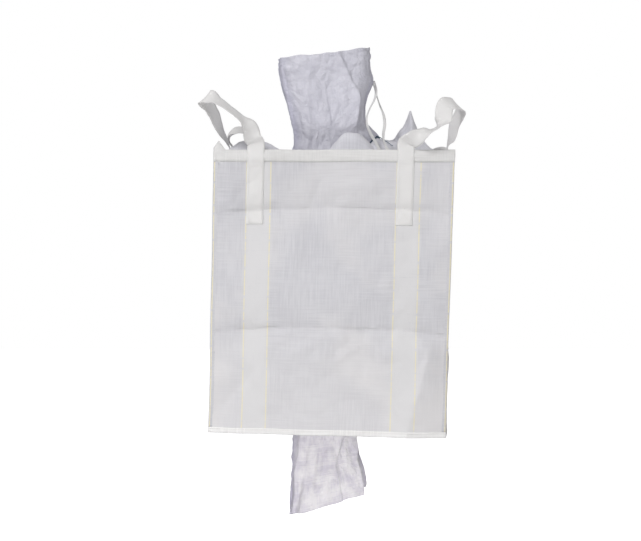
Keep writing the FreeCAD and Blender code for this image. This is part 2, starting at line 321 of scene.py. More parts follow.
def to_object(name, bm, material, thickness=0.0, levels=0):
    """Turns a finished bmesh into an object, with its wall thickness worked in."""
    mesh = bpy.data.meshes.new(name)
    for face in bm.faces:
        face.smooth = True
    bm.to_mesh(mesh)
    bm.free()
    piece = bpy.data.objects.new(name, mesh)
    bpy.context.scene.collection.objects.link(piece)
    mesh.materials.append(material)
    if thickness:
        solid = piece.modifiers.new("Thickness", "SOLIDIFY")
        solid.thickness = thickness
        solid.offset = 0.0
    if levels:
        smooth = piece.modifiers.new("Smooth", "SUBSURF")
        smooth.levels = smooth.render_levels = levels
    if thickness or levels:
        bake_modifiers(piece)
    return piece


def bake_modifiers(piece):
    """Replaces a piece's mesh with what its modifiers make of it."""
    bpy.context.view_layer.update()
    final = piece.evaluated_get(bpy.context.evaluated_depsgraph_get())
    mesh = bpy.data.meshes.new_from_object(final)
    old = piece.data
    piece.modifiers.clear()
    piece.data = mesh
    bpy.data.meshes.remove(old)


def across_line(line, i, direction):
    """The direction across a line at its point i, square to the line."""
    forward = (line[min(i + 1, len(line) - 1)] - line[max(i - 1, 0)]).normalized()
    return (direction - forward * direction.dot(forward)).normalized()


def ribbon(line, row_point, width, columns=8):
    """A flat strap along a line: row_point gives the place at an index and offset."""
    lengths = [0.0]
    for a, b in zip(line, line[1:]):
        lengths.append(lengths[-1] + (b - a).length)
    last = len(line) - 1

    def place(s, t):
        return row_point(round(t * last), width * (s - 0.5))

    def yarn(s, t, middle):
        return (width * (s - 0.5), lengths[round(t * last)])

    return cloth_grid(columns, last, place, yarn)


def catmull(p0, p1, p2, p3, t):
    """A place between p1 and p2 on the smooth line through four points."""
    return 0.5 * (
        2 * p1 + (p2 - p0) * t + (2 * p0 - 5 * p1 + 4 * p2 - p3) * t**2
        + (3 * p1 - p0 - 3 * p2 + p3) * t**3
    )


def spline_line(name, points):
    """The smooth line that a cord takes: a NURBS with those points as its controls."""
    curve = bpy.data.curves.new(name, "CURVE")
    curve.dimensions = "3D"
    curve.resolution_u = 12
    spline = curve.splines.new("NURBS")
    spline.points.add(len(points) - 1)
    for control, point in zip(spline.points, points):
        control.co = (*point, 1.0)
    spline.order_u = 3
    spline.use_endpoint_u = True
    guide = bpy.data.objects.new(name, curve)
    bpy.context.scene.collection.objects.link(guide)
    bpy.context.view_layer.update()
    mesh = bpy.data.meshes.new_from_object(
        guide.evaluated_get(bpy.context.evaluated_depsgraph_get())
    )
    line = [v.co.copy() for v in mesh.vertices]
    bpy.data.objects.remove(guide)
    bpy.data.curves.remove(curve)
    bpy.data.meshes.remove(mesh)
    return line


def fade(value, low, high):
    """0 below low, 1 above high, and a smooth step between."""
    t = min(1.0, max(0.0, (value - low) / (high - low)))
    return t * t * (3 - 2 * t)


def facets(point, size, seed):
    """Crumpled cloth: flat facets with sharp valleys between them, about 0 to 1."""
    at = point / size + Vector((seed, 2.3 * seed, -1.7 * seed))
    at = at + noise.noise_vector(at * 0.9) * 0.35
    near = noise.voronoi(at)[0]
    return near[1] - near[0]


def wave(point, size, seed):
    """Soft cloth waves, about -1 to 1."""
    return noise.noise(point / size + Vector((seed, -seed, 3.1 * seed)))


# ---- Shape of the hanging body ----------------------------------------------------
def half_across(side):
    return HALF_WIDTH if side in (0, 2) else HALF_DEPTH


def reach_of(side):
    return HALF_DEPTH if side in (0, 2) else HALF_WIDTH


def turned(side, across, out, height):
    """A point of the frame, from its place across a wall, out from the middle, and up."""
    x, y = across, -out
    for _ in range(side):
        x, y = -y, x
    return Vector((x, y, height))


def crease_depth(across, height):
    """Depth of the folded-bale creases that cross a wall."""
    depth = 0.0
    for level, deep, above, below in FOLD_CREASES:
        away = height - level + 0.10 * across**2 - 0.008 * wave(Vector((across, level, 0)), 0.16, 5.0)
        reach = above if away > 0 else below
        uneven = 1 + 0.35 * wave(Vector((across, level, 0)), 0.11, 12.0)
        depth += uneven * (0.70 * deep * math.exp(-math.hypot(away, 0.003) / reach)
                           + 0.30 * deep * math.exp(-math.hypot(away, 0.003) / 0.014))
    return depth


def line_fold(across, height, x0, z0, x1, z1, depth, under, over):
    """Depth of one straight fold, sharp along its line and soft on both sides."""
    dx, dz = x1 - x0, z1 - z0
    length = math.hypot(dx, dz)
    along = ((across - x0) * dx + (height - z0) * dz) / length**2
    aside = ((height - z0) * dx - (across - x0) * dz) / length
    past = max(0.0, -along, along - 1) * length
    reach = over if aside > 0 else under
    return depth * math.exp(-math.hypot(aside, 0.012) / reach - (past / 0.05) ** 2)


def wall_relief(side, across, height):
    """How far the wall cloth stands out of its flat place."""
    cloth = bpy.context.scene.bulkbag_cloth
    share = across / half_across(side)
    drop = -height / BODY_HEIGHT
    inside = 1 - abs(share) ** 6
    calm = 1 - abs(share) ** 14
    ends = fade(drop, 0.0, 0.12) * (1 - 0.75 * fade(drop, 0.92, 1.0))
    at = Vector((across, height, 0.9 * side))
    relief = 0.010 * inside * math.sin(math.pi * min(1, max(0, drop)))
    relief -= crease_depth(across, height) * (0.5 + 0.5 * inside) * fade(drop, 0.0, 0.06)
    relief += cloth.slump * ends * inside * wave(at, 0.42, 2.0 + side)
    relief += cloth.crumple * ends * (facets(at, 0.19, 4.0 + side) - 0.35)
    creased = 0.35 + math.exp(-((drop - 0.18) / 0.08) ** 2) + math.exp(-((drop - 0.66) / 0.10) ** 2)
    relief += 0.38 * cloth.crumple * ends * creased * facets(at, 0.062, 16.0 + side)
    relief += 0.25 * cloth.crumple * fade(drop, 0.0, 0.05) * wave(at, 0.055, 7.0)
    folds = WALL_FOLDS if side == 0 else [(-f[2], f[3], -f[0], f[1], *f[4:]) for f in WALL_FOLDS[2:]]
    for fold in folds:
        relief -= fade(drop, 0.0, 0.03) * line_fold(across, height, *fold)
    gusset = (0.0, 0.018, 0.0, 0.055)[side]
    relief -= gusset * (1 - share**4) * (1 - 0.5 * fade(drop, 0.2, 0.9)) * (1 - fade(drop, 0.85, 1.0))
    return relief * calm


def corner_shift(turn, height):
    """Sideways wander of one of the four upright edges."""
    drop = -height / BODY_HEIGHT
    calm = 0.004 * fade(drop, 0.02, 0.35)
    at = Vector((turn * 3.7, height, 1.3))
    shift = Vector((wave(at, 0.40, 1.0), wave(at, 0.40, 9.0), 0)) * calm
    if turn == 1:
        shift.y += 0.040 * fade(drop, 0.05, 0.80)
    return shift


def tilt(x):
    """How much higher the bag's foot hangs at a place across it."""
    return 0.021 - 0.026 * (x + HALF_WIDTH) / (2 * HALF_WIDTH)


def hang(point):
    """The whole body leans a little, narrows downwards and hangs lower on its right."""
    drop = max(0.0, -point.z / BODY_HEIGHT)
    x = point.x * (0.996 - 0.012 * drop) + 0.0018 - 0.026 * drop
    return Vector((x, point.y, point.z + drop * tilt(point.x)))


def on_wall(side, across, height, out=0.0):
    """Where a place on a wall is, once the bag hangs."""
    share = (across / half_across(side) + 1) / 2
    relief = wall_relief(side, across, height)
    point = turned(side, across, reach_of(side) + relief + out, height)
    point += corner_shift(side, height) * (1 - share) ** 3
    point += corner_shift((side + 1) % 4, height) * share**3
    point.z += 0.0022 * wave(Vector((across, 0, side)), 0.16, 3.0)
    return hang(point)


def top_height(x, y):
    """Height of the loose top cloth, which stands up in a few folds."""
    radius = math.hypot(x, y)
    edge = min(HALF_WIDTH - abs(x), HALF_DEPTH - abs(y))
    held = fade(edge, 0.0, 0.03)
    height = -0.012 * held + 0.010 * held * wave(Vector((x, y, 0)), 0.13, 6.0)
    height += 0.016 * held * (facets(Vector((x, y, 0)), 0.11, 8.0) - 0.3)
    height += 0.005 * held * facets(Vector((x, y, 0)), 0.045, 18.0)
    gather = fade(radius, 0.175, 0.185) * (1 - fade(radius, 0.20, 0.30))
    height += 0.0045 * gather * math.sin(26 * math.atan2(y, x) + 3 * wave(Vector((x, y, 0)), 0.1, 2.0))
    for fold_x, fold_y, rise, wide, long, turn, blunt in TOP_FOLDS:
        angle = math.radians(turn)
        dx, dy = x - fold_x, y - fold_y
        along = dx * math.cos(angle) + dy * math.sin(angle)
        aside = -dx * math.sin(angle) + dy * math.cos(angle)
        shape = abs(aside / wide) ** blunt + abs(along / long) ** max(2.0, blunt)
        uneven = 0.93 + 0.22 * facets(Vector((x, y, rise)), 0.075, 9.0) * fade(shape, 0.1, 0.9)
        height += rise * uneven * math.exp(-shape) * fade(edge, 0.0, 0.012)
    return height * fade(radius, 0.02, 0.10)


def bottom_height(x, y):
    """Height of the bottom cloth, which hangs down towards its spout."""
    cloth = bpy.context.scene.bulkbag_cloth
    edge = min(HALF_WIDTH - abs(x), HALF_DEPTH - abs(y)) / HALF_WIDTH
    sag = cloth.bottom_sag * fade(edge, 0.0, 0.8)
    ripple = 0.006 * fade(edge, 0.0, 0.2) * wave(Vector((x, y, 0)), 0.14, 4.0)
    return -BODY_HEIGHT - sag + ripple + tilt(x)


# ---- Shape of the spouts ----------------------------------------------------------
def flattened(cosine, sine, blunt):
    """How far out a flattened ring reaches: 1 all round for a circle, blunt 2."""
    return (abs(cosine) ** blunt + abs(sine) ** blunt) ** (-1 / blunt)


def pleat(angle, share, lines):
    """Folds that run along a spout: gentle on one side and steep on the other."""
    depth = 0.0
    for low, middle, high, deep, gentle, steep, first, last in lines:
        bend = low + (middle - low) * min(1, 2 * share) + (high - middle) * max(0, 2 * share - 1)
        away = (angle - math.radians(bend) + math.pi) % (2 * math.pi) - math.pi
        reach = gentle if away < 0 else steep
        seen = fade(share, first, first + 0.12) * (1 - fade(share, last - 0.12, last))
        if away < 0:
            depth += deep * seen * math.exp(away / reach)
        else:
            depth += deep * seen * (1.5 * math.exp(-away / (0.3 * steep)) - 0.5 * math.exp(-away / (2.5 * steep)))
    return depth


def fill_point(angle, share, out=0.0):
    """A place on the fill spout: angle from +X, and share of the way up its cloth."""
    spouts = bpy.context.scene.bulkbag_spouts
    cosine, sine = math.cos(angle), math.sin(angle)
    base = top_height(FILL_RADIUS * cosine, FILL_RADIUS * sine)
    rim = FILL_TOP - 0.041 + 0.026 * cosine + 0.011 * cosine**2
    rim += 0.005 * wave(Vector((cosine, sine, 0)), 0.25, 2.0)
    height = base + (rim - base) * share
    narrow = fade(share, 0.0, 0.22)
    open_out = fade(share, 0.20, 1.0)
    blunt = 2.0 + 2.4 * narrow
    wide = FILL_RADIUS + 0.010 - 0.045 * narrow + 0.048 * open_out
    deep = FILL_RADIUS - 0.020 * narrow - 0.030 * open_out
    at = Vector((cosine * FILL_RADIUS, sine * FILL_RADIUS, height))
    stretched = Vector((at.x, at.y, at.z * 0.38))
    loose = fade(share, 0.0, 0.20)
    crown = fade(share, 0.70, 0.92)
    ruffle = spouts.wrinkle * loose * (0.9 * facets(stretched, 0.085, 3.0) - 0.35) * (1 - 0.6 * crown)
    ruffle += 0.32 * spouts.wrinkle * loose * facets(at, 0.045, 11.0)
    level = Vector((at.x * 0.5, at.y * 0.5, at.z))
    ruffle += 0.7 * spouts.wrinkle * crown * (facets(level, 0.040, 31.0) - 0.3)
    ruffle += 0.0035 * (1 - loose) * math.sin(34 * angle + 2 * wave(at, 0.05, 1.0)) * fade(share, 0.0, 0.04)
    ruffle += 0.9 * spouts.wrinkle * loose * wave(stretched, 0.10, 5.0)
    ruffle += pleat(angle, share, FILL_PLEATS)
    from_patch = (angle - PATCH_TURN + math.pi) % (2 * math.pi) - math.pi
    ruffle += PATCH_PULL * math.exp(-(from_patch / 0.45) ** 2 - ((share - 0.64) / 0.13) ** 2)
    middle = 0.006 - 0.018 * narrow - 0.022 * open_out
    reach = flattened(cosine, sine, blunt)
    return Vector((
        middle + (wide * reach + ruffle + out) * cosine,
        (deep * reach + ruffle + out) * sine,
        height + 0.004 * loose * wave(at, 0.06, 8.0),
    ))


def discharge_point(angle, share, out=0.0):
    """A place on the discharge spout: angle from +X, and share of the way down."""
    spouts = bpy.context.scene.bulkbag_spouts
    cosine, sine = math.cos(angle), math.sin(angle)
    base = bottom_height(DISCHARGE_RADIUS * cosine, DISCHARGE_RADIUS * sine)
    rim = DISCHARGE_END + 0.064 + 0.054 * cosine
    rim += 0.006 * wave(Vector((cosine, sine, 0)), 0.35, 6.0)
    height = base + (rim - base) * share
    narrow = fade(share, 0.0, 0.14)
    open_out = fade(share, 0.10, 1.0)
    blunt = 2.0 + 1.8 * narrow
    wide = DISCHARGE_RADIUS - 0.024 * narrow + 0.026 * open_out
    deep = DISCHARGE_RADIUS - 0.010 * narrow - 0.022 * open_out
    at = Vector((cosine * DISCHARGE_RADIUS, sine * DISCHARGE_RADIUS, height))
    stretched = Vector((at.x, at.y, at.z * 0.26))
    loose = fade(share, 0.0, 0.12)
    ruffle = spouts.wrinkle * loose * (1.7 * facets(stretched, 0.052, 14.0) - 0.50)
    ruffle += 0.35 * spouts.wrinkle * loose * facets(at, 0.036, 21.0)
    ruffle += 0.8 * spouts.wrinkle * loose * wave(stretched, 0.080, 15.0)
    ruffle += 0.4 * spouts.wrinkle * loose * wave(stretched, 0.024, 41.0)
    ruffle += 0.0030 * (1 - loose) * math.sin(30 * angle) * fade(share, 0.0, 0.03)
    ruffle += pleat(angle, share, DISCHARGE_PLEATS)
    middle = -0.026 - 0.004 * narrow + 0.012 * open_out
    reach = flattened(cosine, sine, blunt)
    return Vector((
        middle + (wide * reach + ruffle + out) * cosine,
        (deep * reach + ruffle + out) * sine,
        height,
    ))


def lean_with_spout(point):
    """The tie tapes follow the spout's lean, most at the top."""
    return point + Vector((-0.0155 * fade(point.z, 0.0, 0.25), 0, 0))


# ---- Materials --------------------------------------------------------------------
class Weave:
    """A node tree under construction, with the yarn coordinates at hand."""

    def __init__(self, name, roughness, sheen=0.0):
        self.material = bpy.data.materials.new(name)
        self.material.use_nodes = True
        self.tree = self.material.node_tree
        self.shader = self.tree.nodes["Principled BSDF"]
        self.shader.inputs["Roughness"].default_value = roughness
        self.shader.inputs["Sheen Weight"].default_value = sheen
        self.shader.inputs["Specular IOR Level"].default_value = 0.35
        yarn = self.tree.nodes.new("ShaderNodeUVMap")
        yarn.uv_map = "Yarn"
        split = self.tree.nodes.new("ShaderNodeSeparateXYZ")
        self.link(yarn.outputs[0], split.inputs[0])
        self.yarn = yarn.outputs[0]
        self.across, self.along = split.outputs[0], split.outputs[1]

    def link(self, source, socket):
        self.tree.links.new(source, socket)

    def math(self, kind, *values):
        node = self.tree.nodes.new("ShaderNodeMath")
        node.operation = kind
        for socket, value in zip(node.inputs, values):
            if isinstance(value, (int, float)):
                socket.default_value = value
            else:
                self.link(value, socket)
        return node.outputs[0]

    def noise(self, scale, detail=2.0, stretch=(1, 1, 1), source=None):
        place = self.tree.nodes.new("ShaderNodeMapping")
        place.inputs["Scale"].default_value = stretch
        self.link(source or self.yarn, place.inputs["Vector"])
        node = self.tree.nodes.new("ShaderNodeTexNoise")
        node.inputs["Scale"].default_value = scale
        node.inputs["Detail"].default_value = detail
        self.link(place.outputs[0], node.inputs["Vector"])
        return node.outputs["Fac"]

    def step(self, value, low, high):
        node = self.tree.nodes.new("ShaderNodeMapRange")
        node.interpolation_type = "SMOOTHSTEP"
        node.inputs["From Min"].default_value = low
        node.inputs["From Max"].default_value = high
        self.link(value, node.inputs["Value"])
        return node.outputs[0]

    def line(self, value, middle, half):
        """1 within half of the middle, and 0 away from it."""
        away = self.math("ABSOLUTE", self.math("SUBTRACT", value, middle))
        return self.math("SUBTRACT", 1.0, self.step(away, half * 0.7, half * 1.3))

    def mix(self, share, first, second):
        node = self.tree.nodes.new("ShaderNodeMix")
        node.data_type = "RGBA"
        self.link(share, node.inputs["Factor"])
        for socket, value in ((node.inputs["A"], first), (node.inputs["B"], second)):
            sockets = [s for s in node.inputs if s.name == socket.name and s.type == "RGBA"]
            if hasattr(value, "is_output"):
                self.link(value, sockets[0])
            else:
                sockets[0].default_value = value
        return [s for s in node.outputs if s.type == "RGBA"][0]

    def bump(self, height, distance, strength=1.0):
        node = self.tree.nodes.new("ShaderNodeBump")
        node.inputs["Distance"].default_value = distance
        node.inputs["Strength"].default_value = strength
        self.link(height, node.inputs["Height"])
        if self.shader.inputs["Normal"].is_linked:
            self.link(self.shader.inputs["Normal"].links[0].from_socket, node.inputs["Normal"])
        self.link(node.outputs[0], self.shader.inputs["Normal"])

    def crumple(self, scale, stretch=(1, 1, 1)):
        """Flat facets with sharp valleys between, as in crushed thin cloth."""
        place = self.tree.nodes.new("ShaderNodeMapping")
        place.inputs["Scale"].default_value = stretch
        self.link(self.yarn, place.inputs["Vector"])
        warp = self.tree.nodes.new("ShaderNodeTexNoise")
        warp.inputs["Scale"].default_value = scale * 0.6
        mixed = self.tree.nodes.new("ShaderNodeMix")
        mixed.data_type = "VECTOR"
        mixed.inputs["Factor"].default_value = 0.06
        vectors = [socket for socket in mixed.inputs if socket.type == "VECTOR"]
        self.link(place.outputs[0], warp.inputs["Vector"])
        self.link(place.outputs[0], vectors[-2])
        self.link(warp.outputs["Color"], vectors[-1])
        cells = self.tree.nodes.new("ShaderNodeTexVoronoi")
        cells.feature = "DISTANCE_TO_EDGE"
        cells.inputs["Scale"].default_value = scale
        self.link([socket for socket in mixed.outputs if socket.type == "VECTOR"][0], cells.inputs["Vector"])
        return cells.outputs["Distance"]

    def tapes(self, pitch):
        """Plain weave of flat tapes: a raised square at every other crossing."""
        first = self.math("SINE", self.math("MULTIPLY", self.across, math.pi / pitch))
        second = self.math("SINE", self.math("MULTIPLY", self.along, math.pi / pitch))
        return self.math("MULTIPLY", first, second)

    def streaks(self):
        """Uneven tapes both ways, in patches, about 0 to 1."""
        down = self.noise(1.0, 3.0, (190.0, 10.0, 1.0))
        over = self.noise(1.0, 3.0, (8.0, 170.0, 1.0))
        patches = self.step(self.noise(5.0, 2.0), 0.38, 0.62)
        share = self.math("ADD", 0.25, self.math("MULTIPLY", patches, 0.5))
        first = self.math("MULTIPLY", over, share)
        second = self.math("MULTIPLY", down, self.math("SUBTRACT", 1.0, share))
        return self.math("ADD", first, second)


def woven_material(name, colour, shade, banded=False, lines=(), roughness=0.58):
    """Coated woven cloth, with the straps' reinforced bands where it has them."""
    cloth = bpy.context.scene.bulkbag_cloth
    weave = Weave(name, roughness, 0.10)
    streaks = weave.streaks()
    cloudy = weave.noise(7.0, 3.0)
    tone = weave.math("ADD", weave.math("MULTIPLY", streaks, 0.75), weave.math("MULTIPLY", cloudy, 0.25))
    surface = weave.mix(weave.step(tone, 0.36, 0.62), tuple(shade), tuple(colour))
    if banded:
        # Painted light: the wall is painted paler towards its bottom and in patches of painted highlight.
        low = weave.step(weave.math("MULTIPLY", weave.along, -1.0), 0.45, 1.0)
        patches = weave.step(weave.noise(2.6, 3.0), 0.44, 0.60)
        painted_light_mottle = weave.math("MULTIPLY", weave.math("ADD", low, patches), 0.34)
        surface = weave.mix(painted_light_mottle, surface, tuple(cloth.painted_light_mottle))
        aside = weave.math("ABSOLUTE", weave.across)
        inner = abs(STRAP_PLACE["right"]) - STRAP_WIDTH / 2
        outer = abs(STRAP_PLACE["left"]) + STRAP_WIDTH / 2
        middle, half = (inner + outer) / 2, (outer - inner) / 2
        in_band = weave.math("MULTIPLY", weave.line(aside, middle, half), weave.step(tone, 0.22, 0.48))
        surface = weave.mix(in_band, surface, tuple(cloth.band))
        lines = (inner, outer)
    if lines:
        aside = weave.math("ABSOLUTE", weave.across)
        dashes = weave.step(weave.noise(1.0, 2.0, (1.0, 60.0, 1.0)), 0.30, 0.50)
        for place in lines:
            yarn = weave.math("MULTIPLY", weave.line(aside, place, 0.0022), dashes)
            surface = weave.mix(weave.math("MULTIPLY", yarn, 0.75), surface, tuple(cloth.marker))
    weave.link(surface, weave.shader.inputs["Base Color"])
    rough = weave.math("ADD", roughness - 0.10, weave.math("MULTIPLY", streaks, 0.20))
    weave.link(rough, weave.shader.inputs["Roughness"])
    if banded:
        bowed = weave.math("MULTIPLY", weave.math("MULTIPLY", weave.across, weave.across), 0.10)
        wander = weave.math("MULTIPLY", weave.noise(6.0, 2.0), 0.016)
        level = weave.math("ADD", weave.along, weave.math("ADD", bowed, wander))
        for crease in FOLD_CREASES:
            broken = weave.step(weave.noise(11.0, 2.0), 0.34, 0.62)
            groove = weave.math("MULTIPLY", weave.line(level, crease[0] + 0.008, 0.005), broken)
            groove = weave.math("SUBTRACT", 1.0, groove)
            weave.bump(groove, 0.0030, 0.6)
    weave.bump(weave.noise(1.0, 4.0, (38.0, 30.0, 1.0)), 0.0030, 0.55)
    weave.bump(streaks, 0.0010, 0.6)
    weave.bump(weave.tapes(cloth.pitch), 0.0002, 0.8)
    return weave.material


def webbing_material():
    """Thick woven webbing: ribs along it, crossed by short picks, with painted shade between the ribs."""
    webbing = bpy.context.scene.bulkbag_webbing
    weave = Weave("Webbing", 0.72, 0.20)
    ribs = weave.math("ABSOLUTE", weave.math("SINE", weave.math("MULTIPLY", weave.across, math.pi / webbing.rib)))
    phase = weave.math("ADD", weave.math("MULTIPLY", weave.along, 2 * math.pi / 0.0032),
                       weave.math("MULTIPLY", weave.across, math.pi / webbing.rib))
    picks = weave.math("ABSOLUTE", weave.math("SINE", phase))
    height = weave.math("MULTIPLY", ribs, weave.math("ADD", 0.6, weave.math("MULTIPLY", picks, 0.4)))
    painted_light_mottle = weave.noise(30.0, 3.0)
    tone = weave.math("MULTIPLY", height, weave.math("ADD", 0.75, weave.math("MULTIPLY", painted_light_mottle, 0.5)))
    # Painted shade: the colour turns darker where the ribs and picks lie low, varied by a mottle.
    colour = weave.mix(weave.step(tone, 0.05, 0.55), tuple(webbing.shade), tuple(webbing.colour))
    weave.link(colour, weave.shader.inputs["Base Color"])
    weave.bump(height, 0.0006, 0.9)
    return weave.material


def spout_material(name, colour, shade, radius):
    """Thin crinkled cloth with a soft shine, and painted shade along its creased sides."""
    weave = Weave(name, 0.42, 0.05)
    crinkle = weave.noise(1.0, 5.0, (22.0, 14.0, 1.0))
    streaks = weave.streaks()
    tone = weave.math("ADD", weave.math("MULTIPLY", crinkle, 0.6), weave.math("MULTIPLY", streaks, 0.4))
    # Partly painted shade, darker in the valleys of the crinkle bump, and partly random streaks.
    surface = weave.mix(weave.step(tone, 0.38, 0.60), tuple(shade), tuple(colour))
    # Painted shade along the folded sides of the flattened spout.
    turn = weave.math("COSINE", weave.math("DIVIDE", weave.across, radius))
    left = weave.step(weave.math("MULTIPLY", turn, -1.0), 0.60, 0.97)
    right = weave.math("MULTIPLY", weave.step(turn, 0.86, 1.0), 0.5)
    side = weave.math("MAXIMUM", left, right)
    painted_side_shade = [shade[0] * 0.80, shade[1] * 0.80, shade[2] * 0.92, 1.0]
    surface = weave.mix(weave.math("MULTIPLY", side, 0.8), surface, painted_side_shade)
    weave.link(surface, weave.shader.inputs["Base Color"])
    rough = weave.math("ADD", 0.34, weave.math("MULTIPLY", crinkle, 0.20))
    weave.link(rough, weave.shader.inputs["Roughness"])
    weave.bump(weave.crumple(26.0, (1.0, 0.6, 1.0)), 0.0120, 0.70)
    weave.bump(weave.crumple(60.0), 0.0050, 0.50)
    weave.bump(crinkle, 0.0050, 0.5)
    weave.bump(streaks, 0.0008, 0.4)
    weave.bump(weave.tapes(0.0022), 0.0001, 0.7)
    return weave.material


def tape_material():
    """Flat woven tie tape with a firm edge."""
    spouts = bpy.context.scene.bulkbag_spouts
    weave = Weave("Tie tape", 0.65, 0.15)
    picks = weave.math("SINE", weave.math("MULTIPLY", weave.along, 2 * math.pi / 0.0022))
    ends = weave.math("SINE", weave.math("MULTIPLY", weave.across, 2 * math.pi / 0.0025))
    height = weave.math("MULTIPLY", picks, ends)
    # Painted shade: darker where the weave of the tape lies low.
    darker = [value * 0.86 for value in spouts.tape[:3]] + [1.0]
    colour = weave.mix(weave.step(height, -0.6, 0.4), darker, tuple(spouts.tape))
    weave.link(colour, weave.shader.inputs["Base Color"])
    weave.bump(height, 0.0003, 0.8)
    return weave.material


def thread_material(name, colour):
    """Twisted sewing thread."""
    material = bpy.data.materials.new(name)
    material.use_nodes = True
    tree = material.node_tree
    shader = tree.nodes["Principled BSDF"]
    shader.inputs["Roughness"].default_value = 0.6
    shader.inputs["Sheen Weight"].default_value = 0.2
    place = tree.nodes.new("ShaderNodeTexCoord")
    twist = tree.nodes.new("ShaderNodeTexNoise")
    twist.inputs["Scale"].default_value = 900.0
    ramp = tree.nodes.new("ShaderNodeValToRGB")
    ramp.color_ramp.elements[0].color = [value * 0.7 for value in colour[:3]] + [1.0]
    ramp.color_ramp.elements[1].color = tuple(colour)
    bump = tree.nodes.new("ShaderNodeBump")
    bump.inputs["Distance"].default_value = 0.0003
    tree.links.new(place.outputs["Object"], twist.inputs["Vector"])
    tree.links.new(twist.outputs["Fac"], ramp.inputs["Fac"])
    tree.links.new(ramp.outputs["Color"], shader.inputs["Base Color"])
    tree.links.new(twist.outputs["Fac"], bump.inputs["Height"])
    tree.links.new(bump.outputs["Normal"], shader.inputs["Normal"])
    return material


def floor_material():
    """A pale studio floor with a faint mottle."""
    material = bpy.data.materials.new("Studio floor")
    material.use_nodes = True
    tree = material.node_tree
    shader = tree.nodes["Principled BSDF"]
    shader.inputs["Roughness"].default_value = 0.9
    shader.inputs["Emission Color"].default_value = (1.0, 1.0, 1.0, 1.0)
    seen = tree.nodes.new("ShaderNodeLightPath")
    tree.links.new(seen.outputs["Is Camera Ray"], shader.inputs["Emission Strength"])
    mottle = tree.nodes.new("ShaderNodeTexNoise")
    mottle.inputs["Scale"].default_value = 2.0
    ramp = tree.nodes.new("ShaderNodeValToRGB")
    ramp.color_ramp.elements[0].color = (0.52, 0.52, 0.52, 1.0)
    ramp.color_ramp.elements[1].color = (0.56, 0.56, 0.56, 1.0)
    place = tree.nodes.new("ShaderNodeTexCoord")
    tree.links.new(place.outputs["Object"], mottle.inputs["Vector"])
    tree.links.new(mottle.outputs["Fac"], ramp.inputs["Fac"])
    tree.links.new(ramp.outputs["Color"], shader.inputs["Base Color"])
    return material


# ---- Stage ------------------------------------------------------------------------
def area_light(name, place, aim, size, energy):
    lamp = bpy.data.lights.new(name, "AREA")
    lamp.shape = "SQUARE"
    lamp.size = size
    lamp.energy = energy
    light = bpy.data.objects.new(name, lamp)
    light.location = place
    light.rotation_euler = (Vector(aim) - Vector(place)).to_track_quat("-Z", "Y").to_euler()
    bpy.context.scene.collection.objects.link(light)


class BULKBAG_OT_stage(bpy.types.Operator):
    """Set the camera, the soft light and the pale floor"""

    bl_idname = "bulkbag.stage"
    bl_label = "Stage"

    def execute(self, context):
        stage = context.scene.bulkbag_stage
        lens = bpy.data.cameras.new("Camera")
        lens.sensor_width = 36.0
        lens.lens = 67.94
        lens.clip_end = 60.0
        camera = bpy.data.objects.new("Camera", lens)
        camera.location = (stage.camera_x, -HALF_DEPTH - stage.distance, stage.camera_z)
        camera.rotation_euler = (math.radians(90), 0, 0)
        context.scene.collection.objects.link(camera)
        context.scene.camera = camera

        world = bpy.data.worlds.new("Soft white room")
        world.use_nodes = True
        tree = world.node_tree
        glow = tree.nodes["Background"]
        glow.inputs["Color"].default_value = (1.0, 1.0, 1.0, 1.0)
        way = tree.nodes.new("ShaderNodeTexCoord")
        split = tree.nodes.new("ShaderNodeSeparateXYZ")
        front = tree.nodes.new("ShaderNodeMapRange")
        front.interpolation_type = "SMOOTHSTEP"
        front.inputs["From Min"].default_value = 0.3
        front.inputs["From Max"].default_value = -0.8
        front.inputs["To Min"].default_value = stage.room_light
        front.inputs["To Max"].default_value = stage.front_light
        seen = tree.nodes.new("ShaderNodeLightPath")
        strength = tree.nodes.new("ShaderNodeMapRange")
        strength.inputs["To Max"].default_value = 1.0
        tree.links.new(way.outputs["Generated"], split.inputs[0])
        tree.links.new(split.outputs["Y"], front.inputs["Value"])
        tree.links.new(front.outputs[0], strength.inputs["To Min"])
        tree.links.new(seen.outputs["Is Camera Ray"], strength.inputs["Value"])
        tree.links.new(strength.outputs[0], glow.inputs["Strength"])
        context.scene.world = world
        context.scene.view_settings.view_transform = "Standard"
        area_light("Key light", (-4.6, -5.0, 6.2), (0.0, 0.0, -0.5), 1.6, stage.key_light)
        area_light("Side light", (3.6, -1.6, 0.2), (0.0, 0.0, -0.5), 1.6, stage.side_light)
        area_light("Low light", (-0.5, -4.4, -1.7), (0.0, 0.0, -1.25), 1.0, stage.low_light)

        bm = bmesh.new()
        bmesh.ops.create_grid(bm, x_segments=8, y_segments=8, size=18.0)
        bmesh.ops.translate(bm, verts=bm.verts, vec=(0, 0, stage.floor))
        to_object("studio_floor", bm, floor_material())
        return {"FINISHED"}


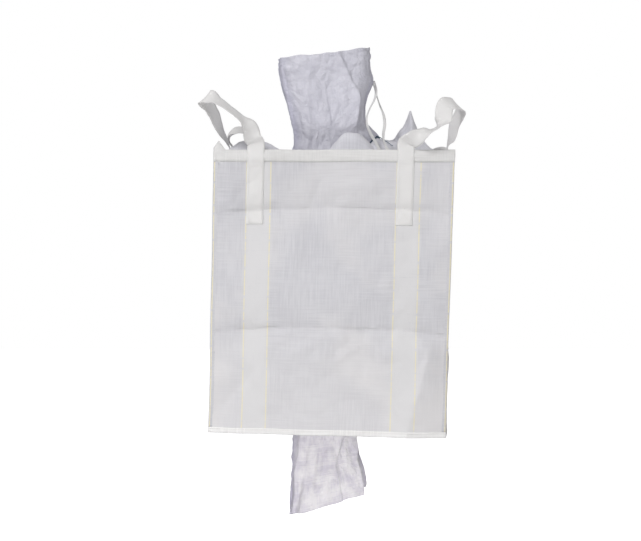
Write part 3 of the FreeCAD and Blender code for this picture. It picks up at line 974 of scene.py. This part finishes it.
# ---- Tie tapes --------------------------------------------------------------------
class BULKBAG_OT_tie_tapes(bpy.types.Operator):
    """Hang the two tie tapes from their patch on the fill spout"""

    bl_idname = "bulkbag.tie_tapes"
    bl_label = "Tie tapes"

    def execute(self, context):
        spouts = context.scene.bulkbag_spouts
        material = tape_material()
        for hand, (name, route) in enumerate(TAPE_ROUTES.items()):
            line = spline_line(name, [lean_with_spout(Vector(point)) for point in route])
            last = len(line) - 1

            def row_point(i, offset, turn=hand, line=line, last=last):
                forward = (line[min(i + 1, last)] - line[max(i - 1, 0)]).normalized()
                flat = fade(i / last, 0.62, 0.80)
                across = forward.cross(Vector((0, -1, 0.001)))
                twist = (1.1 - 2.2 * turn) * math.sin(5.0 * i / last + turn) * (1 - flat)
                across = Quaternion(forward, twist) @ across
                level = forward.cross(Vector((0, 0, 1)))
                across = across.lerp(level if level.dot(across) > 0 else -level, flat)
                return line[i] + across_line(line, i, across) * offset

            bm = ribbon(line, row_point, spouts.tape_width, columns=4)
            piece = to_object(name.replace("_tie", "_woven"), bm, material, 0.0009)
            length = sum((b - a).length for a, b in zip(line, line[1:]))
            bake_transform(piece)
            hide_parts(name)
            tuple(line[0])
        return {"FINISHED"}


# ---- Body -------------------------------------------------------------------------
def round_walls(s, middle):
    """The wall and the place across it, from the share of the way round the body."""
    side = min(3, int(middle * 4))
    return side, ((s * 4 - side) * 2 - 1) * half_across(side)


class BULKBAG_OT_walls(bpy.types.Operator):
    """Hang the four woven walls as one shell that sags between its corners"""

    bl_idname = "bulkbag.walls"
    bl_label = "Walls"

    def execute(self, context):
        cloth = context.scene.bulkbag_cloth
        material = woven_material("Woven wall cloth", cloth.colour, cloth.shade, banded=True)

        def place(s, t):
            side, across = round_walls(s, s)
            return on_wall(side, across, (t - 1) * BODY_HEIGHT)

        def yarn(s, t, middle):
            side, across = round_walls(s, middle)
            return (across, (t - 1) * BODY_HEIGHT)

        around = 4 * (HALF_WIDTH + HALF_DEPTH)
        columns = 4 * round(around / 4 / cloth.grid)
        bm = cloth_grid(columns, round(BODY_HEIGHT / cloth.grid), place, yarn, wrap=True)
        piece = to_object("body_shell", bm, material, cloth.thickness)
        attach(piece, "bag")
        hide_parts(*(f"{name}_panel" for name in SIDES))
        return {"FINISHED"}


def end_sheet(height_at, height, radius, ring_point, rows):
    """The top or bottom cloth: from the ring of its spout out to the four walls."""
    count = 4 * round(2 * HALF_WIDTH / 0.0125)

    def place(s, t):
        side, across = round_walls(s, s)
        outer = on_wall(side, across, height, -0.001)
        flat = turned(side, across, reach_of(side), 0)
        angle = math.atan2(flat.y, flat.x)
        inner = ring_point(angle)
        share = t**1.1
        x = inner.x + (flat.x - inner.x) * share
        y = inner.y + (flat.y - inner.y) * share
        point = inner.lerp(outer, share)
        settled = fade(share, 0.0, 0.10) * (1 - fade(share, 0.94, 1.0))
        point.z = point.z * (1 - settled) + settled * height_at(x, y)
        return point

    def yarn(s, t, middle):
        side, across = round_walls(s, middle)
        flat = turned(side, across, reach_of(side), 0)
        angle = math.atan2(flat.y, flat.x)
        inner = Vector((math.cos(angle), math.sin(angle), 0)) * radius
        point = inner.lerp(flat, t**1.1)
        return (point.x, point.y)

    return cloth_grid(count, rows, place, yarn, wrap=True)


class BULKBAG_OT_ends(bpy.types.Operator):
    """Lay in the loose top cloth and the sagging bottom cloth"""

    bl_idname = "bulkbag.ends"
    bl_label = "Top and bottom"

    def execute(self, context):
        cloth = context.scene.bulkbag_cloth
        spouts = context.scene.bulkbag_spouts
        top_shade = [value * 0.86 for value in spouts.top_colour[:3]] + [1.0]
        bottom = woven_material("Bottom cloth", cloth.colour, cloth.shade)
        top = woven_material("Top cloth", spouts.top_colour, top_shade, roughness=0.5)
        plans = (
            ("top", top, top_height, -0.004, FILL_RADIUS, fill_point, 46),
            ("bottom", bottom, bottom_height, 0.004 - BODY_HEIGHT, DISCHARGE_RADIUS, discharge_point, 40),
        )
        for name, material, height_at, height, radius, spout, rows in plans:

            def ring_point(angle, spout=spout):
                return spout(angle, 0.0)

            bm = end_sheet(height_at, height, radius, ring_point, rows)
            piece = to_object(f"{name}_cloth", bm, material, cloth.thickness)
            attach(piece, "bag")
            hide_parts(f"{name}_panel")
        return {"FINISHED"}


class BULKBAG_OT_edges(bpy.types.Operator):
    """Sew the hem, the bottom seams and the corner seams"""

    bl_idname = "bulkbag.edges"
    bl_label = "Hem and seams"

    def execute(self, context):
        cloth = context.scene.bulkbag_cloth
        cloths = {}
        for kind, colour in (("hem", cloth.hem), ("bottom_seam", cloth.seam)):
            shade = [value * 0.90 for value in colour[:3]] + [1.0]
            cloths[kind] = woven_material(f"Folded {kind} cloth", colour, shade)
        corner_material = woven_material("Corner seam cloth", cloth.colour, cloth.shade, lines=(0.004,))
        for side, name in enumerate(SIDES):
            for kind, low, high, out, slot in (
                ("hem", -HEM_HEIGHT, 0.002, HEM_OUT, "hem_cloth"),
                ("bottom_seam", -BODY_HEIGHT - 0.002, SEAM_HEIGHT - BODY_HEIGHT, SEAM_OUT, "seam_cloth"),
            ):
                bm = edge_strip(side, low, high, out)
                piece = to_object(f"{name}_{kind}_cloth", bm, cloths[kind], 0.0009)
                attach(piece, "bag")
                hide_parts(f"{name}_{kind}")
        for turn in range(4):
            bm = corner_strip(turn)
            names = ("front_left", "front_right", "back_right", "back_left")
            piece = to_object(f"{names[turn]}_corner_cloth", bm, corner_material, 0.0006)
            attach(piece, "bag")
            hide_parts(f"{names[turn]}_corner_seam")
        return {"FINISHED"}


def edge_strip(side, low, high, out):
    """A strip of folded cloth along a wall, puckered a little by its stitching."""
    half = half_across(side) + 0.0015

    def place(s, t):
        across = (2 * s - 1) * half
        height = low + t * (high - low)
        pucker = 0.0007 * wave(Vector((across, height, side)), 0.018, 2.0)
        roll = 0.0010 * math.sin(math.pi * t)
        point = on_wall(side, across, height, out + pucker + roll)
        if side == 0 and low > -SEAM_HEIGHT - HEM_HEIGHT:
            point.z += 0.034 * max(0.0, 1 - abs(across + 0.432) / 0.024) * t**2
        return point

    def yarn(s, t, middle):
        return ((2 * s - 1) * half, low + t * (high - low))

    return cloth_grid(180, 7, place, yarn)


def corner_strip(turn):
    """The folded seam round an upright edge, half on each of its two walls."""
    before = (turn - 1) % 4
    low = SEAM_HEIGHT - BODY_HEIGHT
    high = -HEM_HEIGHT

    def place(s, t):
        height = low + t * (high - low)
        lap = (2 * s - 1) * CORNER_SEAM_WIDTH
        out = 0.0001 + 0.0007 * math.sin(math.pi * s)
        if lap > 0:
            return on_wall(turn, lap - half_across(turn), height, out)
        return on_wall(before, half_across(before) + lap, height, out)

    def yarn(s, t, middle):
        return ((2 * s - 1) * CORNER_SEAM_WIDTH, low + t * (high - low))

    return cloth_grid(8, 130, place, yarn)


# ---- Webbing ----------------------------------------------------------------------
def leg_rows(side, hand, downwards):
    """The sewn part of a strap: one function of the offset across it for each row,
    from its end up to the top of the hem, or back down."""
    step = bpy.context.scene.bulkbag_webbing.step
    middle = STRAP_PLACE[hand] * half_across(side) / HALF_WIDTH
    sign = -1 if downwards else 1
    rows = []
    count = round(SEWN_LENGTH / step)
    for i in range(count + 1):
        height = -SEWN_LENGTH * (1 - i / count)
        over_hem = fade(height, -HEM_HEIGHT - 0.008, -HEM_HEIGHT + 0.002)
        out = STRAP_OUT + (STRAP_OVER_HEM_OUT - STRAP_OUT) * over_hem

        def row(offset, height=height, out=out):
            pressed = 1 - 0.35 * (2 * offset / STRAP_WIDTH) ** 6
            return on_wall(side, middle + sign * offset, height, out * pressed)

        rows.append(row)
    return rows[::-1] if downwards else rows


def loop_rows(name, side):
    """Every row of a corner's strap, from one wall over its loop to the next wall."""
    step = bpy.context.scene.bulkbag_webbing.step
    before = (side - 1) % 4
    first = leg_rows(side, "left", False)
    last = leg_rows(before, "right", True)
    start, end = first[-1](0.0), last[0](0.0)
    start_width, end_width = turned(side, 1, 0, 0), turned(before, -1, 0, 0)
    rise = Vector((0, 0, 0.026))
    points = [start, start + rise, *(Vector(place) for place, across in LOOP_ROUTES[name])]
    points += [end + rise, end]
    widths = [start_width, start_width]
    widths += [Vector(across).normalized() for place, across in LOOP_ROUTES[name]]
    widths += [end_width, end_width]
    free, across = [], []
    ends = [start - rise, *points, end - rise]
    for i, (a, b) in enumerate(zip(points, points[1:])):
        count = max(2, round((b - a).length / step))
        for t in (j / count for j in range(count)):
            free.append(catmull(*ends[i:i + 4], t))
            across.append(widths[i].lerp(widths[i + 1], t * t * (3 - 2 * t)))
    rows = list(first)
    for i in range(1, len(free)):
        direction = across_line(free, i, across[i])

        def row(offset, middle=free[i], direction=direction):
            return middle + direction * offset

        rows.append(row)
    return rows + last


class BULKBAG_OT_loops(bpy.types.Operator):
    """Lay the four webbing loops, each sewn down two walls"""

    bl_idname = "bulkbag.loops"
    bl_label = "Lifting loops"

    def execute(self, context):
        webbing = context.scene.bulkbag_webbing
        material = webbing_material()
        names = ("front_left", "front_right", "back_right", "back_left")
        for side, name in enumerate(names):
            rows = loop_rows(name, side)
            before = (side - 1) % 4

            def row_point(i, offset, rows=rows):
                return rows[i](offset)

            bm = ribbon([row(0.0) for row in rows], row_point, STRAP_WIDTH)
            piece = to_object(f"{name}_strap", bm, material, webbing.thickness)
            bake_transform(piece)
            legs = (f"{SIDES[side]}_wall_left_strap", f"{SIDES[before]}_wall_right_strap")
            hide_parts(f"{name}_loop", *legs)
        return {"FINISHED"}


# ---- Stitching --------------------------------------------------------------------
def stitch_row(bm, points, radius):
    """One grain of thread between each pair of neighbouring points, with a gap."""
    for a, b in zip(points, points[1:]):
        made = bmesh.ops.create_icosphere(bm, subdivisions=1, radius=1.0)["verts"]
        half = (b - a).length * 0.42
        turn = Vector((0, 0, 1)).rotation_difference(b - a)
        for vert in made:
            scaled = Vector((vert.co.x * radius, vert.co.y * radius, vert.co.z * half))
            vert.co = turn @ scaled + (a + b) / 2


def wall_row(side, start, end, out, step):
    """Evenly spaced places from one place on a wall to another."""
    count = max(2, round((Vector(end) - Vector(start)).length / step))
    row = []
    for i in range(count + 1):
        across, height = Vector(start).lerp(Vector(end), i / count)
        row.append(on_wall(side, across, height, out))
    return row


class BULKBAG_OT_stitching(bpy.types.Operator):
    """Sew the straps, the hem and the bottom seam with visible thread"""

    bl_idname = "bulkbag.stitching"
    bl_label = "Stitching"

    def execute(self, context):
        step = context.scene.bulkbag_webbing.stitch
        thread = thread_material("White thread", context.scene.bulkbag_cloth.thread)
        bm = bmesh.new()
        inset = STRAP_WIDTH / 2 - 0.008
        out = STRAP_OUT + STITCH_OUT
        low, high = 0.008 - SEWN_LENGTH, -HEM_HEIGHT - 0.016
        for side in range(4):
            for hand in ("left", "right"):
                middle = STRAP_PLACE[hand]
                left, right = middle - inset, middle + inset
                rows = [
                    ((left, low), (left, high)), ((right, low), (right, high)),
                    ((left, low), (right, low)), ((left, high), (right, high)),
                    ((left, low + 0.06), (right, low)), ((left, low), (right, low + 0.06)),
                ]
                for start, end in rows:
                    stitch_row(bm, wall_row(side, start, end, out, step), 0.0006)
        piece = to_object("strap_thread", bm, thread)
        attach(piece, "bag")
        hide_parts("strap_stitching")
        for side, name in enumerate(SIDES):
            bm = bmesh.new()
            half = half_across(side) - 0.004
            for height, out in ((-HEM_HEIGHT + 0.007, HEM_OUT), (SEAM_HEIGHT - BODY_HEIGHT - 0.006, SEAM_OUT)):
                row = wall_row(side, (-half, height), (half, height), out + STITCH_OUT + 0.0008, step * 1.3)
                stitch_row(bm, row, 0.0007)
            piece = to_object(f"{name}_edge_thread", bm, thread)
            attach(piece, "bag")
        return {"FINISHED"}


# ---- Spouts -----------------------------------------------------------------------
def spout_cloth(point, radius, length, columns, rows):
    def place(s, t):
        return point(2 * math.pi * s, t)

    def yarn(s, t, middle):
        return (2 * math.pi * radius * s, length * t)

    return cloth_grid(columns, rows, place, yarn, wrap=True)


def spout_strip(point, angle, half_angle, low, high, out, columns, rows):
    """A strip that lies on a spout, such as its seam or a sewn patch."""
    def place(s, t):
        return point(angle + (2 * s - 1) * half_angle, low + (high - low) * t, out)

    def yarn(s, t, middle):
        return ((2 * s - 1) * half_angle * FILL_RADIUS, (high - low) * t * FILL_TOP)

    return cloth_grid(columns, rows, place, yarn)


def overlock(name, point, sign, count=260):
    """Two strands of thread that zigzag over the sewn base of a spout."""
    curve = bpy.data.curves.new(name, "CURVE")
    curve.dimensions = "3D"
    curve.bevel_depth = 0.0014
    curve.bevel_resolution = 1
    curve.resolution_u = 3
    for strand in (0, 1):
        spline = curve.splines.new("NURBS")
        spline.points.add(count - 1)
        for i, control in enumerate(spline.points):
            out = 0.0045 if (i + strand) % 2 else 0.0018
            place = point(2 * math.pi * i / count, 0.0, out)
            place.z += sign * (0.0005 if (i + strand) % 2 else 0.0075)
            control.co = (*place, 1.0)
        spline.use_cyclic_u = True
        spline.order_u = 3
    if sign > 0:
        tail = curve.splines.new("NURBS")
        tail.points.add(13)
        for i, control in enumerate(tail.points):
            x, y = 0.165 + 0.0058 * i, -0.075 - 0.0020 * i
            z = top_height(x, y) + 0.0045 + 0.0020 * (i % 2)
            control.co = (x, y, z, 1.0)
        tail.order_u = 3
        tail.use_endpoint_u = True
    guide = bpy.data.objects.new(name, curve)
    bpy.context.scene.collection.objects.link(guide)
    bpy.context.view_layer.update()
    mesh = bpy.data.meshes.new_from_object(guide.evaluated_get(bpy.context.evaluated_depsgraph_get()))
    mesh.name = name
    bpy.data.objects.remove(guide)
    piece = bpy.data.objects.new(name, mesh)
    bpy.context.scene.collection.objects.link(piece)
    for face in mesh.polygons:
        face.use_smooth = True
    mesh.materials.append(thread_material(f"{name} blue", bpy.context.scene.bulkbag_spouts.overlock))
    return piece


class BULKBAG_OT_fill_spout(bpy.types.Operator):
    """Raise the crinkled fill spout with its seam, patch and overlocked base"""

    bl_idname = "bulkbag.fill_spout"
    bl_label = "Fill spout"

    def execute(self, context):
        spouts = context.scene.bulkbag_spouts
        material = spout_material("Fill spout cloth", spouts.fill_colour, spouts.fill_streak_and_painted_shade, FILL_RADIUS)
        joint_z = JOINT_AT["fill_spout_fold_over"].z
        start, end = (0, 0, FILL_NECK_TOP), (0, 0, 2 * joint_z - FILL_NECK_TOP)
        bm = spout_cloth(fill_point, FILL_RADIUS, FILL_TOP, 300, 110)
        piece = to_object("fill_spout_cloth", bm, material, spouts.thickness)
        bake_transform(piece)
        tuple(start)
        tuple(end)
        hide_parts("fill_spout_neck", "fill_spout_fold", "fill_spout_tube")
        strips = (
            ("fill_spout_side_seam", math.pi, 0.055, 0.02, 0.995, "fill_spout_seam"),
            ("tie_patch_cloth", -0.12, 0.13, 0.61, 0.72, "tie_patch"),
        )
        for name, angle, half_angle, low, high, node in strips:
            bm = spout_strip(fill_point, angle, half_angle, low, high, 0.0014, 10, 60)
            strip = to_object(name, bm, material, 0.0016)
            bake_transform(strip)
            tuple(start)
            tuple(end)
            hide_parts(node)
        thread = overlock("fill_spout_thread", fill_point, 1)
        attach(thread, "bag")
        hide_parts("fill_spout_overlock")
        return {"FINISHED"}


class BULKBAG_OT_discharge_spout(bpy.types.Operator):
    """Hang the creased discharge spout with its seam and overlocked base"""

    bl_idname = "bulkbag.discharge_spout"
    bl_label = "Discharge spout"

    def execute(self, context):
        spouts = context.scene.bulkbag_spouts
        material = spout_material(
            "Discharge spout cloth", spouts.discharge_colour, spouts.discharge_streak_and_painted_shade, DISCHARGE_RADIUS
        )
        joint_z = JOINT_AT["discharge_spout_fold_over"].z
        start, end = (0, 0, DISCHARGE_NECK_END), (0, 0, 2 * joint_z - DISCHARGE_NECK_END)
        bm = spout_cloth(discharge_point, DISCHARGE_RADIUS, -BODY_HEIGHT - DISCHARGE_END, 280, 90)
        bmesh.ops.reverse_faces(bm, faces=bm.faces)
        piece = to_object("discharge_spout_cloth", bm, material, spouts.thickness)
        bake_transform(piece)
        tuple(start)
        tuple(end)
        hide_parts("discharge_spout_neck", "discharge_spout_fold", "discharge_spout_tube")
        bm = spout_strip(discharge_point, math.pi, 0.06, 0.02, 0.995, 0.0014, 8, 60)
        bmesh.ops.reverse_faces(bm, faces=bm.faces)
        strip = to_object("discharge_spout_side_seam", bm, material, 0.0016)
        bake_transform(strip)
        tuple(start)
        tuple(end)
        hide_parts("discharge_spout_seam")
        thread = overlock("discharge_spout_thread", discharge_point, -1)
        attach(thread, "bag")
        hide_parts("discharge_spout_overlock")
        return {"FINISHED"}


# ---- Sidebar and registration -----------------------------------------------------
OPERATORS = (
    BULKBAG_OT_stage,
    BULKBAG_OT_tie_tapes,
    BULKBAG_OT_walls,
    BULKBAG_OT_ends,
    BULKBAG_OT_edges,
    BULKBAG_OT_loops,
    BULKBAG_OT_stitching,
    BULKBAG_OT_fill_spout,
    BULKBAG_OT_discharge_spout,
)
GROUPS = {
    "bulkbag_cloth": BULKBAG_PG_cloth,
    "bulkbag_webbing": BULKBAG_PG_webbing,
    "bulkbag_spouts": BULKBAG_PG_spouts,
    "bulkbag_stage": BULKBAG_PG_stage,
}


class BULKBAG_PT_sidebar(bpy.types.Panel):
    """Settings and build buttons of the bulk bag"""

    bl_label = "Bulk Bag"
    bl_idname = "BULKBAG_PT_sidebar"
    bl_space_type = "VIEW_3D"
    bl_region_type = "UI"
    bl_category = "Bulk Bag"

    def draw(self, context):
        for name, group in GROUPS.items():
            box = self.layout.box()
            box.label(text=group.__doc__)
            for key in group.__annotations__:
                box.prop(getattr(context.scene, name), key)
        for operator in OPERATORS:
            self.layout.operator(operator.bl_idname)


def register():
    for item in (*GROUPS.values(), *OPERATORS, BULKBAG_PT_sidebar):
        bpy.utils.register_class(item)
    for name, group in GROUPS.items():
        setattr(bpy.types.Scene, name, PointerProperty(type=group))


def unregister():
    for name in GROUPS:
        delattr(bpy.types.Scene, name)
    for item in reversed((*GROUPS.values(), *OPERATORS, BULKBAG_PT_sidebar)):
        bpy.utils.unregister_class(item)


def main():
    register()
    for operator in OPERATORS:
        group, name = operator.bl_idname.split(".")
        getattr(getattr(bpy.ops, group), name)()


if __name__ == "__main__":
    main()
